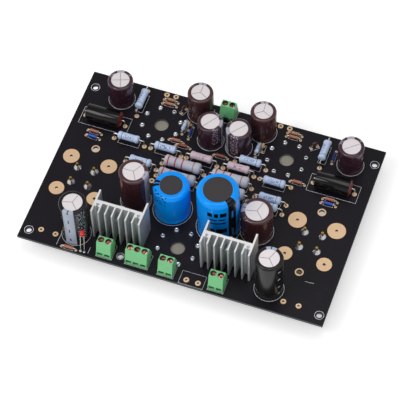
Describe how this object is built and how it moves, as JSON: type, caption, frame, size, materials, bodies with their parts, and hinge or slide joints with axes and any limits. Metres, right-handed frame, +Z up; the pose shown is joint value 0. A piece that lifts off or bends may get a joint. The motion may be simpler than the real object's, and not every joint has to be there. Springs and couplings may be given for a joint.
{
  "type": "audio amplifier board",
  "caption": "Populated valve amplifier circuit board with electrolytic cans, finned heatsinks, screw terminals whose clamps rise, and valve sockets under the board.",
  "frame": {"origin": "on the ground, under the middle of the board's length and depth", "axes": "+X along the board's long side, +Y from the terminal edge to the back edge, +Z up"},
  "size_m": [0.212, 0.142, 0.061],
  "materials": {
    "board_laminate": "satin black solder mask on glass laminate",
    "gold_plating": "flat gold plating",
    "solder": "bright solder",
    "socket_ceramic": "matt cream ceramic",
    "contact_brass": "gold plated brass",
    "can_aluminium": "satin drawn can",
    "can_disc": "matt dark disc",
    "brown_sleeve": "glossy shrunk sleeve",
    "blue_sleeve": "glossy shrunk sleeve",
    "black_sleeve": "glossy shrunk sleeve",
    "heatsink_aluminium": "plain extruded",
    "device_epoxy": "moulded black",
    "plated_steel": "bright plated",
    "terminal_green": "moulded light green",
    "terminal_screw_copper": "copper coloured plating",
    "cage_steel": "plated steel",
    "tinned_copper": "tinned",
    "blue_coating": "satin pale blue coating",
    "pink_coating": "satin dusty pink coating",
    "grey_coating": "satin grey coating with colour bands",
    "copper_coating": "satin coating",
    "black_wrap": "glossy black wrap",
    "bead_dip": "dipped resin",
    "red_lens": "clear red lens"
  },
  "bodies": {
    "root": {"circuit_board": "board_laminate", "plated_pads": "gold_plating", "solder_joints": "solder", "octal_socket_left": "socket_ceramic", "octal_socket_right": "socket_ceramic", "octal_socket_front": "socket_ceramic", "tube_socket_left": "socket_ceramic", "tube_socket_right": "socket_ceramic", "socket_contacts": "contact_brass", "purple_cans": "can_aluminium", "brown_cans": "can_aluminium", "blue_cans": "can_aluminium", "black_cans": "can_aluminium", "blue_can_discs": "can_disc", "brown_sleeves": "brown_sleeve", "blue_sleeves": "blue_sleeve", "black_sleeves": "black_sleeve", "heatsink_left": "heatsink_aluminium", "heatsink_right": "heatsink_aluminium", "regulator_left": "device_epoxy", "regulator_right": "device_epoxy", "heatsink_screws": "plated_steel", "heatsink_pins": "plated_steel", "terminal_a_housing": "terminal_green", "terminal_b_housing": "terminal_green", "terminal_c_housing": "terminal_green", "terminal_d_housing": "terminal_green", "terminal_e_housing": "terminal_green", "terminal_contacts": "tinned_copper", "blue_resistors": "blue_coating", "pink_resistors": "pink_coating", "grey_resistors": "grey_coating", "small_resistors": "copper_coating", "film_capacitors": "black_wrap", "bead_capacitors": "bead_dip", "indicator_lamp": "red_lens"},
    "terminal_a_screw_1": {"terminal_a_screw_1": "terminal_screw_copper"},
    "terminal_a_cage_1": {"terminal_a_cage_1": "cage_steel"},
    "terminal_a_screw_2": {"terminal_a_screw_2": "terminal_screw_copper"},
    "terminal_a_cage_2": {"terminal_a_cage_2": "cage_steel"},
    "terminal_b_screw_1": {"terminal_b_screw_1": "terminal_screw_copper"},
    "terminal_b_cage_1": {"terminal_b_cage_1": "cage_steel"},
    "terminal_b_screw_2": {"terminal_b_screw_2": "terminal_screw_copper"},
    "terminal_b_cage_2": {"terminal_b_cage_2": "cage_steel"},
    "terminal_b_screw_3": {"terminal_b_screw_3": "terminal_screw_copper"},
    "terminal_b_cage_3": {"terminal_b_cage_3": "cage_steel"},
    "terminal_c_screw_1": {"terminal_c_screw_1": "terminal_screw_copper"},
    "terminal_c_cage_1": {"terminal_c_cage_1": "cage_steel"},
    "terminal_c_screw_2": {"terminal_c_screw_2": "terminal_screw_copper"},
    "terminal_c_cage_2": {"terminal_c_cage_2": "cage_steel"},
    "terminal_d_screw_1": {"terminal_d_screw_1": "terminal_screw_copper"},
    "terminal_d_cage_1": {"terminal_d_cage_1": "cage_steel"},
    "terminal_d_screw_2": {"terminal_d_screw_2": "terminal_screw_copper"},
    "terminal_d_cage_2": {"terminal_d_cage_2": "cage_steel"},
    "terminal_e_screw_1": {"terminal_e_screw_1": "terminal_screw_copper"},
    "terminal_e_cage_1": {"terminal_e_cage_1": "cage_steel"},
    "terminal_e_screw_2": {"terminal_e_screw_2": "terminal_screw_copper"},
    "terminal_e_cage_2": {"terminal_e_cage_2": "cage_steel"}
  },
  "joints": [
    {"name": "terminal_a_screw_1_turn", "type": "hinge", "parent": "root", "child": "terminal_a_screw_1", "pos_m": [-0.04812, -0.06362, 0.029], "axis": [0, 0, -1], "range_deg": [0, 1800]},
    {"name": "terminal_a_cage_1_rise", "type": "slide", "parent": "root", "child": "terminal_a_cage_1", "axis": [0, 0, 1], "range_m": [0, 0.0025]},
    {"name": "terminal_a_screw_2_turn", "type": "hinge", "parent": "root", "child": "terminal_a_screw_2", "pos_m": [-0.04304, -0.06362, 0.029], "axis": [0, 0, -1], "range_deg": [0, 1800]},
    {"name": "terminal_a_cage_2_rise", "type": "slide", "parent": "root", "child": "terminal_a_cage_2", "axis": [0, 0, 1], "range_m": [0, 0.0025]},
    {"name": "terminal_b_screw_1_turn", "type": "hinge", "parent": "root", "child": "terminal_b_screw_1", "pos_m": [-0.02819, -0.06305, 0.029], "axis": [0, 0, -1], "range_deg": [0, 1800]},
    {"name": "terminal_b_cage_1_rise", "type": "slide", "parent": "root", "child": "terminal_b_cage_1", "axis": [0, 0, 1], "range_m": [0, 0.0025]},
    {"name": "terminal_b_screw_2_turn", "type": "hinge", "parent": "root", "child": "terminal_b_screw_2", "pos_m": [-0.02311, -0.06305, 0.029], "axis": [0, 0, -1], "range_deg": [0, 1800]},
    {"name": "terminal_b_cage_2_rise", "type": "slide", "parent": "root", "child": "terminal_b_cage_2", "axis": [0, 0, 1], "range_m": [0, 0.0025]},
    {"name": "terminal_b_screw_3_turn", "type": "hinge", "parent": "root", "child": "terminal_b_screw_3", "pos_m": [-0.01803, -0.06305, 0.029], "axis": [0, 0, -1], "range_deg": [0, 1800]},
    {"name": "terminal_b_cage_3_rise", "type": "slide", "parent": "root", "child": "terminal_b_cage_3", "axis": [0, 0, 1], "range_m": [0, 0.0025]},
    {"name": "terminal_c_screw_1_turn", "type": "hinge", "parent": "root", "child": "terminal_c_screw_1", "pos_m": [-0.00508, -0.0639, 0.029], "axis": [0, 0, -1], "range_deg": [0, 1800]},
    {"name": "terminal_c_cage_1_rise", "type": "slide", "parent": "root", "child": "terminal_c_cage_1", "axis": [0, 0, 1], "range_m": [0, 0.0025]},
    {"name": "terminal_c_screw_2_turn", "type": "hinge", "parent": "root", "child": "terminal_c_screw_2", "pos_m": [0, -0.0639, 0.029], "axis": [0, 0, -1], "range_deg": [0, 1800]},
    {"name": "terminal_c_cage_2_rise", "type": "slide", "parent": "root", "child": "terminal_c_cage_2", "axis": [0, 0, 1], "range_m": [0, 0.0025]},
    {"name": "terminal_d_screw_1_turn", "type": "hinge", "parent": "root", "child": "terminal_d_screw_1", "pos_m": [0.02968, -0.06404, 0.029], "axis": [0, 0, -1], "range_deg": [0, 1800]},
    {"name": "terminal_d_cage_1_rise", "type": "slide", "parent": "root", "child": "terminal_d_cage_1", "axis": [0, 0, 1], "range_m": [0, 0.0025]},
    {"name": "terminal_d_screw_2_turn", "type": "hinge", "parent": "root", "child": "terminal_d_screw_2", "pos_m": [0.03476, -0.06404, 0.029], "axis": [0, 0, -1], "range_deg": [0, 1800]},
    {"name": "terminal_d_cage_2_rise", "type": "slide", "parent": "root", "child": "terminal_d_cage_2", "axis": [0, 0, 1], "range_m": [0, 0.0025]},
    {"name": "terminal_e_screw_1_turn", "type": "hinge", "parent": "root", "child": "terminal_e_screw_1", "pos_m": [-0.00212, 0.06532, 0.029], "axis": [0, 0, -1], "range_deg": [0, 1800]},
    {"name": "terminal_e_cage_1_rise", "type": "slide", "parent": "root", "child": "terminal_e_cage_1", "axis": [0, 0, 1], "range_m": [0, 0.0025]},
    {"name": "terminal_e_screw_2_turn", "type": "hinge", "parent": "root", "child": "terminal_e_screw_2", "pos_m": [-0.0072, 0.06532, 0.029], "axis": [0, 0, -1], "range_deg": [0, 1800]},
    {"name": "terminal_e_cage_2_rise", "type": "slide", "parent": "root", "child": "terminal_e_cage_2", "axis": [0, 0, 1], "range_m": [0, 0.0025]}
  ],
  "couplings": [
    {"joint": "terminal_a_screw_1_turn", "follows": "terminal_a_cage_1_rise", "rad_per_m": 12566},
    {"joint": "terminal_a_screw_2_turn", "follows": "terminal_a_cage_2_rise", "rad_per_m": 12566},
    {"joint": "terminal_b_screw_1_turn", "follows": "terminal_b_cage_1_rise", "rad_per_m": 12566},
    {"joint": "terminal_b_screw_2_turn", "follows": "terminal_b_cage_2_rise", "rad_per_m": 12566},
    {"joint": "terminal_b_screw_3_turn", "follows": "terminal_b_cage_3_rise", "rad_per_m": 12566},
    {"joint": "terminal_c_screw_1_turn", "follows": "terminal_c_cage_1_rise", "rad_per_m": 12566},
    {"joint": "terminal_c_screw_2_turn", "follows": "terminal_c_cage_2_rise", "rad_per_m": 12566},
    {"joint": "terminal_d_screw_1_turn", "follows": "terminal_d_cage_1_rise", "rad_per_m": 12566},
    {"joint": "terminal_d_screw_2_turn", "follows": "terminal_d_cage_2_rise", "rad_per_m": 12566},
    {"joint": "terminal_e_screw_1_turn", "follows": "terminal_e_cage_1_rise", "rad_per_m": 12566},
    {"joint": "terminal_e_screw_2_turn", "follows": "terminal_e_cage_2_rise", "rad_per_m": 12566}
  ]
}
